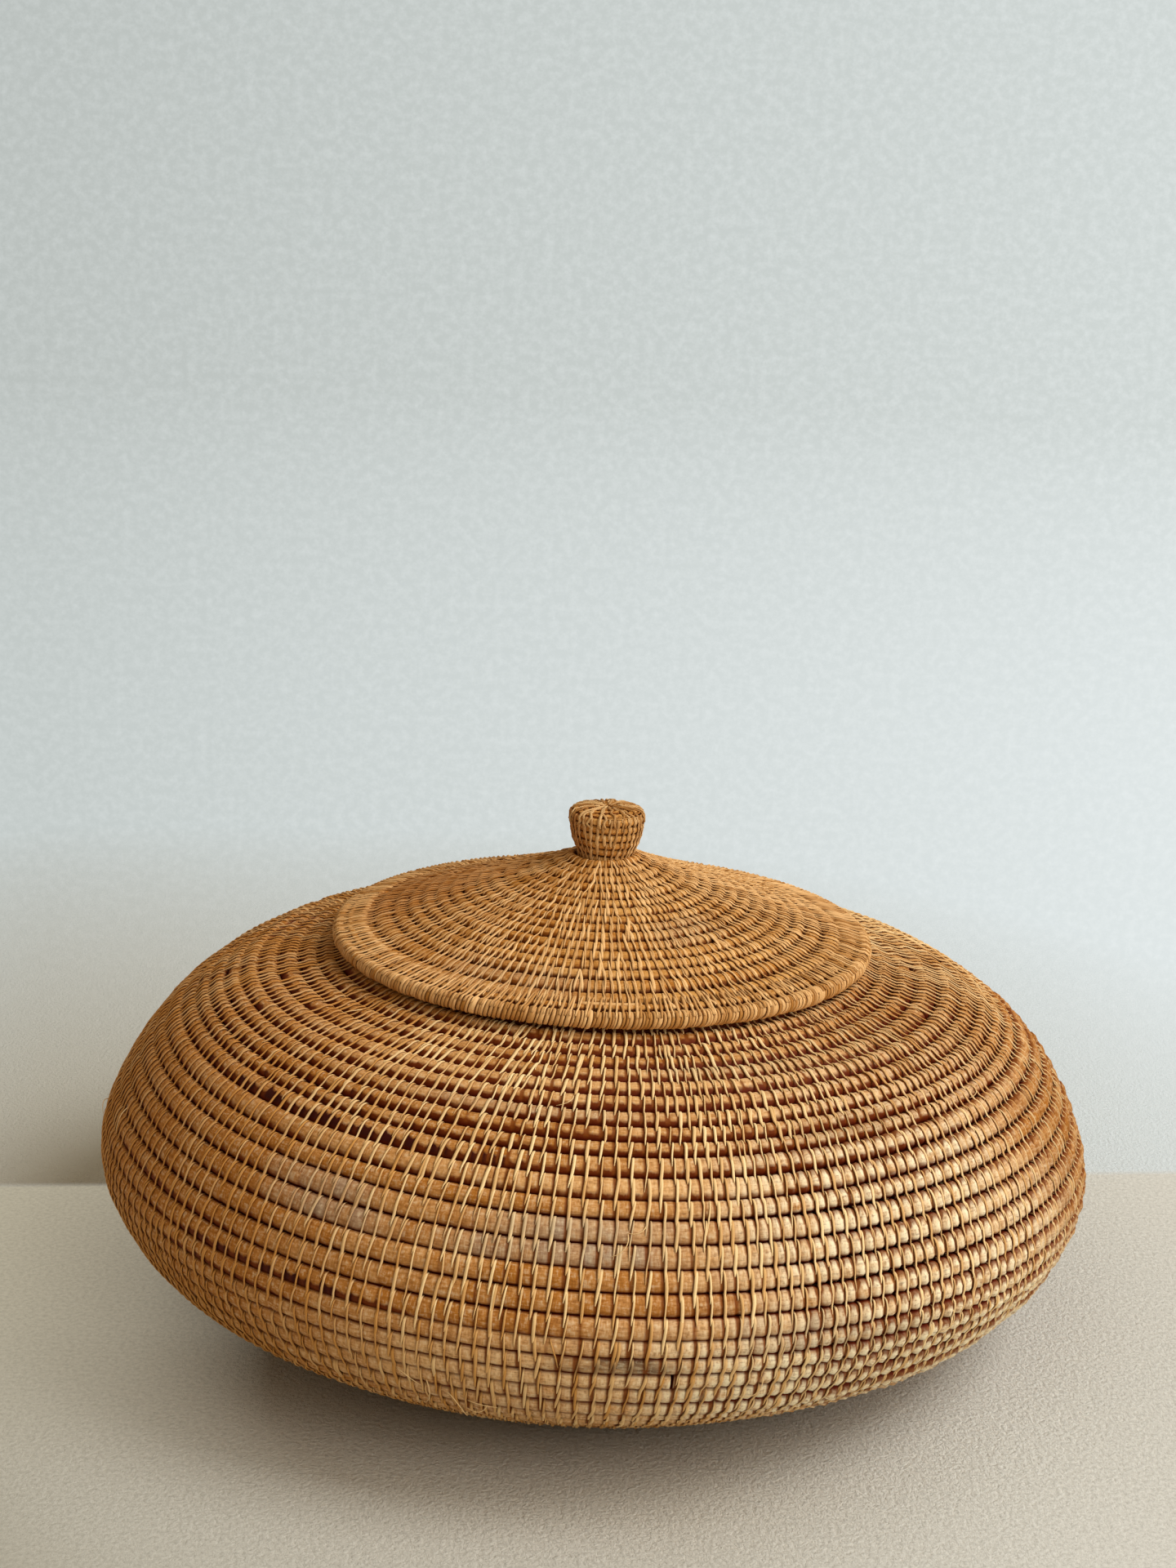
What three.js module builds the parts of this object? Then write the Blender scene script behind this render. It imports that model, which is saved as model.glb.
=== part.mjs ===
// A coiled cane basket with a lift-off lid. Thick rods of cane are laid turn on turn in a spiral
// and lashed to each other. Sizes are in millimetres, +Z is up, and the origin is the centre of
// the flat base, on the surface that the basket stands on.
import * as THREE from 'three';

// Common values
const gap = 0.3;              // clearance between pieces that touch
const bodySteps = 32;         // facets round the body and the lid
const knobSteps = 20;         // facets round the knob
const rodSides = 8;           // facets round a single rod
const broadCrests = [0.25, 0.75];
const sharpCrests = [0.5];
const halfTurn = 180;         // degrees
const fullTurn = 360;

// Basket body: the outer line of the wall, from the edge of the base up to the mouth. Insets are
// measured in from the belly, which is the widest level, and rises up from it.
const baseRadius = 140;
const footSpread = 13;        // the wall lifts off the table this far outside the base
const footRise = 2.6;
const undersideInset = 43;
const undersideHeight = 18;
const lowerBellyInset = 15;
const lowerBellyDrop = 31.5;
const bellyRadius = 225;
const bellyHeight = 70;
const upperBellyInset = 10;
const upperBellyRise = 32;
const flankInset = 31;
const flankRise = 60;
const shoulderRadius = 165;
const shoulderRise = 79;
const neckRadius = 131;
const neckRise = 86.8;
const mouthRadius = 105.5;
const mouthRise = 94;

// Rods of the body
const wallThickness = 8.4;
const wallTurns = 33;         // turns of rod between the base and the mouth
const wallRods = 8;           // lengths of rod joined end to end in the wall
const ridgeDepth = 1.8;       // how far the groove between two turns is sunk
const baseTurns = 16;         // turns of rod in the flat base, shared by two rods
const mouthRodRadius = 4.3;
const mouthRodLift = 1;       // the mouth rod stands proud of the wall's end

// Lid: its outer line, as heights above the middle of its rim
const lidOverhang = 12;       // from the mouth out to the middle of the lid's rim
const lidRimThickness = 10.4;
const lidRimWrap = 1.2;       // thickness of the strands wound round the rim
const wrapOpening = 40;       // half of the wrap's open angle, in degrees, where it meets the lid
const lidEdgeHeight = 1.8;
const lidOuterInset = 17.5;   // measured in from the middle of the rim
const lidOuterHeight = 6.4;
const lidMiddleRadius = 66;
const lidMiddleHeight = 18.4;
const lidInnerRadius = 34;
const lidInnerHeight = 28.8;
const lidCrownRadius = 12.8;
const lidCrownHeight = 37.6;
const lidThickness = 6.6;
const lidRidgeDepth = 1.3;
const lidTurns = 16;
const lidRods = 3;

// Ring under the lid that keeps it centred in the mouth
const flangeClearance = 3;    // between the ring and the mouth
const flangeWidth = 6.2;
const flangeDepth = 12.4;
const flangeTurns = 2;

// Knob: a short stack of thin rod round a core
const knobRadius = 17;
const knobHeight = 20.6;
const knobTurns = 5;
const knobRidgeDepth = 0.7;
const knobCoreRadius = 6;
const knobTopRadius = 12;
const knobTopThickness = 3.9;
const knobTopEdge = 1.6;      // height that the knob's top edge rounds over

const cane = { color: 0xb98d58, roughness: 0.62, metalness: 0 };
const paleCane = { color: 0xc79a5f, roughness: 0.58, metalness: 0 };
const darkCane = { color: 0x9a7245, roughness: 0.66, metalness: 0 };

function material(finish) {
  return new THREE.MeshStandardMaterial(finish);
}

// A solid of revolution about Z from a section in radius and height
function revolve(name, section, steps, finish) {
  const geometry = new THREE.LatheGeometry(section, steps);
  geometry.rotateX(Math.PI / 2);
  const mesh = new THREE.Mesh(geometry, material(finish));
  mesh.name = name;
  return mesh;
}

function outline(stations) {
  return new THREE.SplineCurve(stations.map(([radius, height]) => new THREE.Vector2(radius, height)));
}

// The point at a distance along an outline, sunk to a depth below its surface
function pointAlong(curve, distance, depth = 0) {
  const share = THREE.MathUtils.clamp(distance / curve.getLength(), 0, 1);
  const point = curve.getPointAt(share);
  const along = curve.getTangentAt(share);
  return new THREE.Vector2(point.x - along.y * depth, point.y + along.x * depth);
}

// The section of several turns of rod lying side by side: ridged outside and plain inside. The
// crests are the shares of a turn at which the ridge stands at its full height. The first turn may
// end in a nose that reaches into its neighbour.
function ridgedSection(curve, firstTurn, lastTurn, turnLength, thickness, depth, crests, nose) {
  const start = firstTurn * turnLength + gap / 2;
  const end = lastTurn * turnLength - gap / 2;
  const section = [pointAlong(curve, start, depth)];
  for (let turn = firstTurn; turn < lastTurn; turn += 1) {
    crests.forEach((crest) => section.push(pointAlong(curve, (turn + crest) * turnLength)));
    if (turn < lastTurn - 1) {
      section.push(pointAlong(curve, (turn + 1) * turnLength, depth));
    }
  }
  section.push(pointAlong(curve, end, depth));
  section.push(pointAlong(curve, end, thickness));
  section.push(pointAlong(curve, start, thickness));
  if (nose) {
    section.push(nose);
  }
  section.push(section[0].clone());
  return section;
}

// Rods joined end to end: each takes its share of the turns
function rodSpan(rod, rods, turns) {
  return [Math.round(rod * turns / rods), Math.round((rod + 1) * turns / rods)];
}

function twoDigits(number) {
  return String(number).padStart(2, '0');
}

// Points on a circle about a rod's middle, from one angle to another, in degrees
function rodArc(radius, height, rodRadius, from, to, steps) {
  const points = [];
  for (let step = 0; step <= steps; step += 1) {
    const angle = THREE.MathUtils.degToRad(from + (to - from) * step / steps);
    points.push(new THREE.Vector2(radius + rodRadius * Math.cos(angle), height + rodRadius * Math.sin(angle)));
  }
  return points;
}

// Wall
const wallLine = outline([
  [baseRadius, 0],
  [baseRadius + footSpread, footRise],
  [bellyRadius - undersideInset, undersideHeight],
  [bellyRadius - lowerBellyInset, bellyHeight - lowerBellyDrop],
  [bellyRadius, bellyHeight],
  [bellyRadius - upperBellyInset, bellyHeight + upperBellyRise],
  [bellyRadius - flankInset, bellyHeight + flankRise],
  [shoulderRadius, bellyHeight + shoulderRise],
  [neckRadius, bellyHeight + neckRise],
  [mouthRadius, bellyHeight + mouthRise],
]);
const wallTurnLength = wallLine.getLength() / wallTurns;

function wallCoils() {
  const group = new THREE.Group();
  for (let rod = 0; rod < wallRods; rod += 1) {
    const [firstTurn, lastTurn] = rodSpan(rod, wallRods, wallTurns);
    const section = ridgedSection(
      wallLine, firstTurn, lastTurn, wallTurnLength, wallThickness, ridgeDepth, broadCrests);
    group.add(revolve(`wall_rod_${twoDigits(rod + 1)}`, section, bodySteps, cane));
  }
  return group;
}

// Base
// A flat spiral of rod, sewn from the centre outwards and worn flat underneath. Its outer edge
// leans with the end of the wall, which carries on from it.
function baseCoils() {
  const group = new THREE.Group();
  const joint = baseRadius * Math.round(baseTurns / 2) / baseTurns;
  const centre = [
    new THREE.Vector2(0, 0),
    new THREE.Vector2(joint - gap / 2, 0),
    new THREE.Vector2(joint - gap / 2, wallThickness),
    new THREE.Vector2(0, wallThickness),
  ];
  group.add(revolve('base_centre_rod', centre, bodySteps, darkCane));
  const wallFoot = pointAlong(wallLine, 0, wallThickness);
  const outer = [
    new THREE.Vector2(joint + gap / 2, 0),
    new THREE.Vector2(baseRadius - gap / 2, 0),
    new THREE.Vector2(wallFoot.x - gap / 2, wallFoot.y),
    new THREE.Vector2(joint + gap / 2, wallThickness),
  ];
  outer.push(outer[0].clone());
  group.add(revolve('base_outer_rod', outer, bodySteps, darkCane));
  return group;
}

// Mouth
// One rod closes the wall and stands a little proud of it: the lid rests on it.
const wallEnd = pointAlong(wallLine, wallLine.getLength(), wallThickness / 2);
const wallEndTangent = wallLine.getTangentAt(1);
const mouthRodOffset = gap + mouthRodRadius;
const mouthRodCentreRadius = wallEnd.x + wallEndTangent.x * mouthRodOffset;
const mouthRodHeight = wallEnd.y + wallEndTangent.y * mouthRodOffset + mouthRodLift;

function mouthRod() {
  const section = rodArc(mouthRodCentreRadius, mouthRodHeight, mouthRodRadius, 0, fullTurn, rodSides);
  return revolve('mouth_rod', section, bodySteps, darkCane);
}

// Lid
const lidRimRadius = mouthRadius + lidOverhang;
const rimRadius = lidRimThickness / 2;
const rimCoreRadius = rimRadius - lidRimWrap - gap;
const lidLine = outline([
  [lidRimRadius - rimRadius - gap, lidEdgeHeight],
  [lidRimRadius - lidOuterInset, lidOuterHeight],
  [lidMiddleRadius, lidMiddleHeight],
  [lidInnerRadius, lidInnerHeight],
  [lidCrownRadius, lidCrownHeight],
]);
const lidTurnLength = lidLine.getLength() / lidTurns;

function lidCoils() {
  const names = ['lid_outer_rod', 'lid_middle_rod', 'lid_crown_rod'];
  const rimNose = new THREE.Vector2(lidRimRadius - rimCoreRadius - gap, 0);
  const group = new THREE.Group();
  for (let rod = 0; rod < lidRods; rod += 1) {
    const [firstTurn, lastTurn] = rodSpan(rod, lidRods, lidTurns);
    const nose = rod === 0 ? rimNose : null;
    const section = ridgedSection(
      lidLine, firstTurn, lastTurn, lidTurnLength, lidThickness, lidRidgeDepth, sharpCrests, nose);
    group.add(revolve(names[rod], section, bodySteps, paleCane));
  }
  return group;
}

// The rim: a core rod with strands wound closely round it. The wrap is open where the lid's
// outermost turn lies against the core.
function lidRim() {
  const group = new THREE.Group();
  const wrapFrom = wrapOpening - halfTurn;
  const wrapTo = halfTurn - wrapOpening;
  const outer = rodArc(lidRimRadius, 0, rimRadius, wrapFrom, wrapTo, rodSides);
  const inner = rodArc(lidRimRadius, 0, rimRadius - lidRimWrap, wrapTo, wrapFrom, rodSides);
  group.add(revolve('lid_rim_wrap', [...outer, ...inner, outer[0].clone()], bodySteps, paleCane));
  const core = rodArc(lidRimRadius, 0, rimCoreRadius, 0, fullTurn, rodSides);
  group.add(revolve('lid_rim_core', core, bodySteps, cane));
  return group;
}

// Height of the lid's underside, in the lid's own frame, at a radius
function undersideAt(radius) {
  let nearest = pointAlong(lidLine, 0, lidThickness);
  const samples = 400;
  for (let sample = 1; sample <= samples; sample += 1) {
    const point = pointAlong(lidLine, lidLine.getLength() * sample / samples, lidThickness);
    if (Math.abs(point.x - radius) < Math.abs(nearest.x - radius)) {
      nearest = point;
    }
  }
  return nearest.y;
}

// The ring stands just inside the mouth and is sewn to the underside of the lid
const flangeOuterRadius = mouthRodCentreRadius - mouthRodRadius - flangeClearance;

function lidFlange() {
  const inner = flangeOuterRadius - flangeWidth;
  const topOutside = undersideAt(flangeOuterRadius) - gap;
  const topInside = undersideAt(inner) - gap;
  const turnHeight = flangeDepth / flangeTurns;
  const bottom = topOutside - flangeDepth;
  const grooveRadius = flangeOuterRadius - lidRidgeDepth;
  const section = [new THREE.Vector2(inner, bottom)];
  section.push(new THREE.Vector2(grooveRadius, bottom));
  for (let turn = 0; turn < flangeTurns; turn += 1) {
    section.push(new THREE.Vector2(flangeOuterRadius, bottom + (turn + 0.25) * turnHeight));
    section.push(new THREE.Vector2(flangeOuterRadius, bottom + (turn + 0.75) * turnHeight));
    if (turn < flangeTurns - 1) {
      section.push(new THREE.Vector2(grooveRadius, bottom + (turn + 1) * turnHeight));
    }
  }
  section.push(new THREE.Vector2(grooveRadius, undersideAt(grooveRadius) - gap));
  section.push(new THREE.Vector2(inner, topInside));
  section.push(section[0].clone());
  return revolve('lid_flange_ring', section, bodySteps, darkCane);
}

// Knob
// The lid's coil starts as a stack of thin rod, whose foot fills the hole at the lid's crown.
const knobBaseHeight = lidCrownHeight;
const knobTopHeight = knobBaseHeight + knobHeight;
const knobNeckRadius = lidCrownRadius - gap;

function knob() {
  const group = new THREE.Group();
  const bore = knobCoreRadius + gap;
  const hole = pointAlong(lidLine, lidLine.getLength(), lidThickness);
  const foot = hole.y;
  const stackHeight = knobHeight - knobTopEdge;
  const side = outline([
    [knobNeckRadius, knobBaseHeight],
    [knobNeckRadius + (knobRadius - knobNeckRadius) * 0.45, knobBaseHeight + stackHeight * 0.3],
    [knobRadius, knobBaseHeight + stackHeight * 0.75],
    [knobRadius - knobTopEdge / 4, knobBaseHeight + stackHeight],
  ]);
  const turnLength = side.getLength() / knobTurns;
  const stack = [new THREE.Vector2(bore, foot), new THREE.Vector2(hole.x - gap, foot)];
  stack.push(pointAlong(side, 0));
  for (let turn = 0; turn < knobTurns; turn += 1) {
    if (turn > 0) {
      stack.push(pointAlong(side, turn * turnLength, knobRidgeDepth));
    }
    stack.push(pointAlong(side, (turn + 0.3) * turnLength));
    stack.push(pointAlong(side, (turn + 0.7) * turnLength));
  }
  stack.push(new THREE.Vector2(knobRadius - knobTopEdge, knobTopHeight));
  stack.push(new THREE.Vector2(knobTopRadius + gap, knobTopHeight));
  const shelf = knobTopHeight - knobTopThickness - gap;
  stack.push(new THREE.Vector2(knobTopRadius + gap, shelf));
  stack.push(new THREE.Vector2(bore, shelf));
  stack.push(stack[0].clone());
  group.add(revolve('knob_side_rod', stack, knobSteps, cane));

  const topUnderside = knobTopHeight - knobTopThickness;
  const top = [
    new THREE.Vector2(0, topUnderside),
    new THREE.Vector2(knobTopRadius, topUnderside),
    new THREE.Vector2(knobTopRadius, knobTopHeight),
    new THREE.Vector2(0, knobTopHeight),
  ];
  group.add(revolve('knob_top_rod', top, knobSteps, cane));

  const core = [
    new THREE.Vector2(0, foot),
    new THREE.Vector2(knobCoreRadius, foot),
    new THREE.Vector2(knobCoreRadius, shelf),
    new THREE.Vector2(0, shelf),
  ];
  group.add(revolve('knob_core', core, knobSteps, darkCane));
  return group;
}

// The lid comes down until its underside meets the mouth rod or its rim meets the shoulder
function lidSeatHeight() {
  const samples = 400;
  let seat = -Infinity;
  const raise = (point, centreRadius, reach, height) => {
    const across = point.x - centreRadius;
    if (Math.abs(across) < reach) {
      seat = Math.max(seat, height + Math.sqrt(reach * reach - across * across));
    }
  };
  for (let sample = 0; sample <= samples; sample += 1) {
    const share = sample / samples;
    const under = pointAlong(lidLine, lidLine.getLength() * share, lidThickness);
    raise(under, mouthRodCentreRadius, mouthRodRadius + gap, mouthRodHeight - under.y);
    const shoulder = pointAlong(wallLine, wallLine.getLength() * share);
    raise(shoulder, lidRimRadius, rimRadius + gap, shoulder.y);
  }
  return seat;
}

const basket = new THREE.Group();

const body = new THREE.Group();
body.add(baseCoils(), wallCoils(), mouthRod());
basket.add(body);

const lid = new THREE.Group();
lid.position.z = lidSeatHeight();
lid.add(lidCoils(), lidRim(), lidFlange(), knob());
basket.add(lid);

export default basket;
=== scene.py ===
import math

import bpy
import numpy as np
from mathutils import Matrix, Vector


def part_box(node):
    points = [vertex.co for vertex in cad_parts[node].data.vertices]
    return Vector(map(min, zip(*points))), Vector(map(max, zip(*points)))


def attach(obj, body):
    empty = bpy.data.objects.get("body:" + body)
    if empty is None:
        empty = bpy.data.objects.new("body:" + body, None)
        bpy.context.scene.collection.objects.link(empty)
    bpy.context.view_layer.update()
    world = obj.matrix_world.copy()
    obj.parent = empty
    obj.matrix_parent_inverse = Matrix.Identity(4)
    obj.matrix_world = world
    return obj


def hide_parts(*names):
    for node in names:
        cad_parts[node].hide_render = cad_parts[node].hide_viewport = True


# A coiled cane basket with its lid. Lengths are in metres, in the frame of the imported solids.
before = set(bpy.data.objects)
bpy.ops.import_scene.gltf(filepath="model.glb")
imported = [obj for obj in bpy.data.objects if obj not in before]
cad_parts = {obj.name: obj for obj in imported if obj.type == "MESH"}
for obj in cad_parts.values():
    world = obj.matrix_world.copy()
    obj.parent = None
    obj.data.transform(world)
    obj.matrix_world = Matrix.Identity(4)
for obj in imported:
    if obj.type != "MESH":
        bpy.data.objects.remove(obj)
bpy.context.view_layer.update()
mm = 0.001
turnAngle = 2 * math.pi


def addObject(name, data):
    made = bpy.data.objects.new(name, data)
    bpy.context.scene.collection.objects.link(made)
    return made


# camera
cameraSet = {
    "place": (0.0, -1.0308, 0.4915),
    "lens": 54.08,
    "pitch": 13.92,             # degrees below the horizon
    "yaw": -0.51,
    "roll": 2.3,
}


def makeCamera():
    pitch, yaw, roll = (math.radians(cameraSet[k]) for k in ("pitch", "yaw", "roll"))
    flat = math.cos(pitch)
    ahead = Vector((math.sin(yaw) * flat, math.cos(yaw) * flat, -math.sin(pitch)))
    level = ahead.cross(Vector((0, 0, 1))).normalized()
    above = level.cross(ahead)
    right = math.cos(roll) * level + math.sin(roll) * above
    up = -math.sin(roll) * level + math.cos(roll) * above
    data = bpy.data.cameras.new("camera")
    data.lens, data.sensor_width, data.clip_start, data.clip_end = cameraSet["lens"], 36, 0.01, 50
    camera = addObject("camera", data)
    turned = Matrix((right, up, -ahead)).transposed().to_4x4()
    camera.matrix_world = Matrix.Translation(cameraSet["place"]) @ turned
    bpy.context.scene.camera = camera


makeCamera()
print("camera placed")


# outlines
class Outline:                  # a smooth line through stations of radius and height, read by distance
    def __init__(self, stations, lead=()):
        stops = np.array(stations, float) * mm
        padded = np.vstack([stops[:1], stops, stops[-1:]])
        share = np.linspace(0, 1, 60, endpoint=False)[:, None]
        runs = [np.array(lead, float).reshape(-1, 2) * mm]
        for i in range(len(stops) - 1):
            before, start, end, after = padded[i:i + 4]
            leave, arrive = (end - before) / 2, (after - start) / 2
            runs.append((2 * start - 2 * end + leave + arrive) * share ** 3
                        + (3 * end - 3 * start - 2 * leave - arrive) * share ** 2 + leave * share + start)
        self.points = np.vstack(runs + [stops[-1:]])
        steps = np.hypot(*np.diff(self.points, axis=0).T)
        self.reach = np.concatenate([[0], np.cumsum(steps)])
        self.length = self.reach[-1]
        tangent = self.at(self.reach + 3 * mm) - self.at(self.reach - 3 * mm)
        tangent /= np.linalg.norm(tangent, axis=1)[:, None]
        self.normals = np.stack([tangent[:, 1], -tangent[:, 0]], 1)

    def read(self, values, distance):
        return np.stack([np.interp(distance, self.reach, values[:, i]) for i in (0, 1)], -1)

    def at(self, distance):
        return self.read(self.points, distance)

    def normal(self, distance):
        found = self.read(self.normals, distance)
        return found / np.linalg.norm(found, axis=-1)[..., None]


def roundAxis(flat, azimuth, lift=0.0):   # (radius, height) at an azimuth from the front, as x, y, z
    radius, height = flat[..., 0], flat[..., 1]
    return np.stack([radius * np.sin(azimuth), -radius * np.cos(azimuth), height + lift], -1)


def alongTurn(azimuth):            # the level direction in which a turn runs
    return np.stack([np.cos(azimuth), np.sin(azimuth), np.zeros_like(azimuth)], -1)


def alongOutline(normal):
    return np.stack([-normal[..., 1], normal[..., 0]], -1)


def waves(seed, pace, count=7):    # a smooth wandering value about -1 to 1
    made = np.random.default_rng(seed)
    rates = pace * made.uniform(0.35, 2.2, count)
    phases = made.uniform(0, turnAngle, count)
    weights = made.uniform(0.5, 1, count) / np.sqrt(count)
    parts = list(zip(weights, rates, phases))
    return lambda x: sum(w * np.sin(turnAngle * r * x + p) for w, r, p in parts) * 1.3


def smoothStep(low, high, x):
    share = np.clip((x - low) / (high - low), 0, 1)
    return share * share * (3 - 2 * share)


# meshes
rodAngles = (0, 36, 60, 78, 97, 130, 180, 230, 263, 282, 300, 324)   # closer together on the seen side


def section(sides, power):         # the shape of a tube across, flatter for a higher power
    evenly = np.arange(sides) / sides * turnAngle
    angle = np.radians(rodAngles) if sides == len(rodAngles) else evenly
    c, s = np.cos(angle), np.sin(angle)
    power = np.asarray(power, float)[..., None]
    return np.sign(c) * np.abs(c) ** (2 / power), np.sign(s) * np.abs(s) ** (2 / power)


def tubes(centre, thick, wide, halfThick, halfWide, sides, closed=False, power=2.0):
    # centre is (tubes, points, 3); thick and wide are the directions across each tube
    c, s = section(sides, power)
    points = (centre[:, :, None] + thick[:, :, None] * (halfThick[..., None] * c)[..., None]
              + wide[:, :, None] * (halfWide[..., None] * s)[..., None])
    count, long = centre.shape[:2]
    index = np.arange(count * long * sides).reshape(count, long, sides)
    ahead = np.roll(index, -1, 1) if closed else index[:, 1:]
    here = index if closed else index[:, :-1]
    quads = np.stack([here, np.roll(here, -1, 2), np.roll(ahead, -1, 2), ahead], -1)
    spans = quads.shape[1]
    u, v = np.meshgrid(np.arange(spans) / spans, np.arange(sides) / sides, indexing="ij")
    step = np.array([[0, 0], [0, 1 / sides], [1 / spans, 1 / sides], [1 / spans, 0]])
    uv = np.broadcast_to((np.stack([u, v], -1)[:, :, None] + step)[None], (count, spans, sides, 4, 2))
    quads, uv = quads.reshape(count, -1, 4), uv.reshape(count, -1, 4, 2)
    if not closed:
        fan = [[0, i, i + 1, i + 2] for i in range(1, sides - 2, 2)]
        ends = [index[:, 0][:, f[::-1]] for f in fan] + [index[:, -1][:, f] for f in fan]
        corner = np.array([[0, 0], [0, 1], [1, 1], [1, 0]]) * 0.02
        spot = np.abs(np.repeat([0.0, 1.0], len(fan))[:, None, None] - corner)
        quads = np.concatenate([quads, np.stack(ends, 1)], 1)
        uv = np.concatenate([uv, np.broadcast_to(spot, (count, *spot.shape))], 1)
    return {"points": points, "quads": quads, "uv": uv}


def packStrips(uv, aspect):        # a grid of cells, one for each tube, of about the tubes' own shape
    count = len(uv)
    across = max(1, round(math.sqrt(count / aspect)))
    down = math.ceil(count / across)
    cell = np.arange(count)
    corner = np.stack([cell % across, cell // across], 1)[:, None, None]
    return (corner + 0.04 + uv * 0.92) / np.array([across, down])


def foldStrip(uv, spans, sides, rows):   # one long tube, folded into rows
    folded = uv.copy()
    side = spans * sides
    along = folded[0, :side, :, 0] * spans
    perRow = math.ceil(spans / rows)
    row = (np.floor(along.min(1) + 0.5) // perRow)[:, None]
    folded[0, :side, :, 0] = (along - row * perRow) / perRow * 0.98 + 0.01
    folded[0, :side, :, 1] = (row + 0.05 + folded[0, :side, :, 1] * 0.9) / rows
    folded[0, side:] = folded[0, side:] * 0.002
    return folded


def makePiece(name, made, body, slot, material, uv, grain, **values):
    points, quads = made["points"].reshape(-1, 3), made["quads"].reshape(-1, 4)
    maps = {"OFBake": uv.reshape(-1, 4, 2), "grainMap": grain.reshape(-1, 4, 2)}
    corners = points[quads]
    facing = np.cross(corners[:, 1] - corners[:, 0], corners[:, 3] - corners[:, 0])
    volume = np.einsum("ij,ij->i", corners[:, 0] + corners[:, 2], facing).sum()
    if volume < 0:                 # turn the faces outwards
        quads = quads[:, ::-1]
        maps = {label: data[:, ::-1] for label, data in maps.items()}
    mesh = bpy.data.meshes.new(name)
    mesh.vertices.add(len(points))
    mesh.vertices.foreach_set("co", points.astype(np.float32).ravel())
    mesh.loops.add(quads.size)
    mesh.loops.foreach_set("vertex_index", quads.astype(np.int32).ravel())
    mesh.polygons.add(len(quads))
    mesh.polygons.foreach_set("loop_start", np.arange(0, quads.size, 4, dtype=np.int32))
    mesh.update(calc_edges=True)
    mesh.polygons.foreach_set("use_smooth", np.ones(len(quads), bool))
    for label, data in maps.items():
        mesh.uv_layers.new(name=label).data.foreach_set("uv", data.astype(np.float32).ravel())
    shape = made["points"].shape[:-1]
    for label, data in values.items():
        layer = mesh.attributes.new(label, "FLOAT", "POINT")
        layer.data.foreach_set("value", np.broadcast_to(data, shape).astype(np.float32).ravel())
    mesh.materials.append(material)
    piece = addObject(name, mesh)
    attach(piece, body)
    return piece


# shader maths
class Wire:                        # a socket that takes part in sums
    def __init__(self, paint, socket):
        self.paint, self.socket = paint, socket

    def math(self, kind, *others, swapped=False):
        terms = (*others, self) if swapped else (self, *others)
        return self.paint.node("ShaderNodeMath", {"operation": kind}, dict(enumerate(terms)))

    def __add__(self, other):
        return self.math("ADD", other)

    def __sub__(self, other):
        return self.math("SUBTRACT", other)

    def __rsub__(self, other):
        return self.math("SUBTRACT", other, swapped=True)

    def __mul__(self, other):
        return self.math("MULTIPLY", other)

    def __truediv__(self, other):
        return self.math("DIVIDE", other)

    def __rtruediv__(self, other):
        return self.math("DIVIDE", other, swapped=True)

    __radd__, __rmul__ = __add__, __mul__


class Paint:                       # the nodes of one material or of the world
    def __init__(self, tree):
        self.tree = tree

    def node(self, kind, settings=None, inputs=None, out=0):
        made = self.tree.nodes.new(kind)
        for key, value in (settings or {}).items():
            setattr(made, key, value)
        for key, value in (inputs or {}).items():
            if isinstance(value, Wire):
                self.tree.links.new(value.socket, made.inputs[key])
            else:
                made.inputs[key].default_value = value
        return Wire(self, made.outputs[out])

    def value(self, name):
        return self.node("ShaderNodeAttribute", {"attribute_name": name}, out="Fac")

    def mix(self, share, first, second):
        return self.node("ShaderNodeMix", {"data_type": "RGBA"}, {0: share, 6: first, 7: second}, out=2)

    def noise(self, vector, scale, detail=3, rough=0.55):
        inputs = {"Vector": vector, "Scale": scale, "Detail": detail, "Roughness": rough}
        return self.node("ShaderNodeTexNoise", {}, inputs, out="Fac")

    def ramp(self, share, low, high):
        return self.node("ShaderNodeMapRange", {}, {"Value": share, "From Min": low, "From Max": high})

    def part(self, vector, axis):
        return self.node("ShaderNodeSeparateXYZ", {}, {0: vector}, out=axis)

    def grain(self, along, around, detail, rough=0.55):   # noise drawn out along the cane
        source = self.node("ShaderNodeUVMap", {"uv_map": "grainMap"})
        inputs = {0: source, 1: (along, around, 1)}
        place = self.node("ShaderNodeVectorMath", {"operation": "MULTIPLY"}, inputs)
        return self.noise(place, 1.0, detail, rough)


class Finish(Paint):               # a material with its one surface
    def __init__(self, name, roughness, specular):
        self.material = bpy.data.materials.new(name)
        self.material.use_nodes = True
        super().__init__(self.material.node_tree)
        self.surface = self.tree.nodes["Principled BSDF"]
        self.surface.inputs["Roughness"].default_value = roughness
        self.surface.inputs["Specular IOR Level"].default_value = specular

    def feed(self, socket, wire):
        self.tree.links.new(wire.socket, self.surface.inputs[socket])

    def bump(self, height, strength, distance):
        inputs = {"Strength": strength, "Distance": distance, "Height": height}
        self.feed("Normal", self.node("ShaderNodeBump", {}, inputs))


def tint(red, green, blue):        # a colour as seen on screen, made linear for a socket
    shares = [c / 255 for c in (red, green, blue)]
    return (*(((c + 0.055) / 1.055) ** 2.4 if c > 0.04 else c / 12.92 for c in shares), 1)


def tints(colours):
    return {key: tint(*value) for key, value in colours.items()}


# cane finishes
caneRodColours = {
    "honey": (226, 174, 112),
    # amber and warm are the cane's own tones, and also painted shade where broad marks cover the left side
    "amber": (186, 120, 46),
    # pale: a painted highlight on the lit right side where marks lie, and the light flecks of the grain
    "pale": (255, 238, 200),
    "umber": (108, 50, 4),
    "grey": (184, 158, 130),
    "stain": (88, 58, 34),
    "warm": (172, 108, 48),
    # the next four colours are painted shade: under the rods, beside the strands, in the grooves and in the
    # deepest hollows
    "hollow": (110, 46, 4),
    "crease": (122, 60, 6),
    "groove": (96, 27, 2),
    "pit": (62, 14, 6),
}


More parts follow.
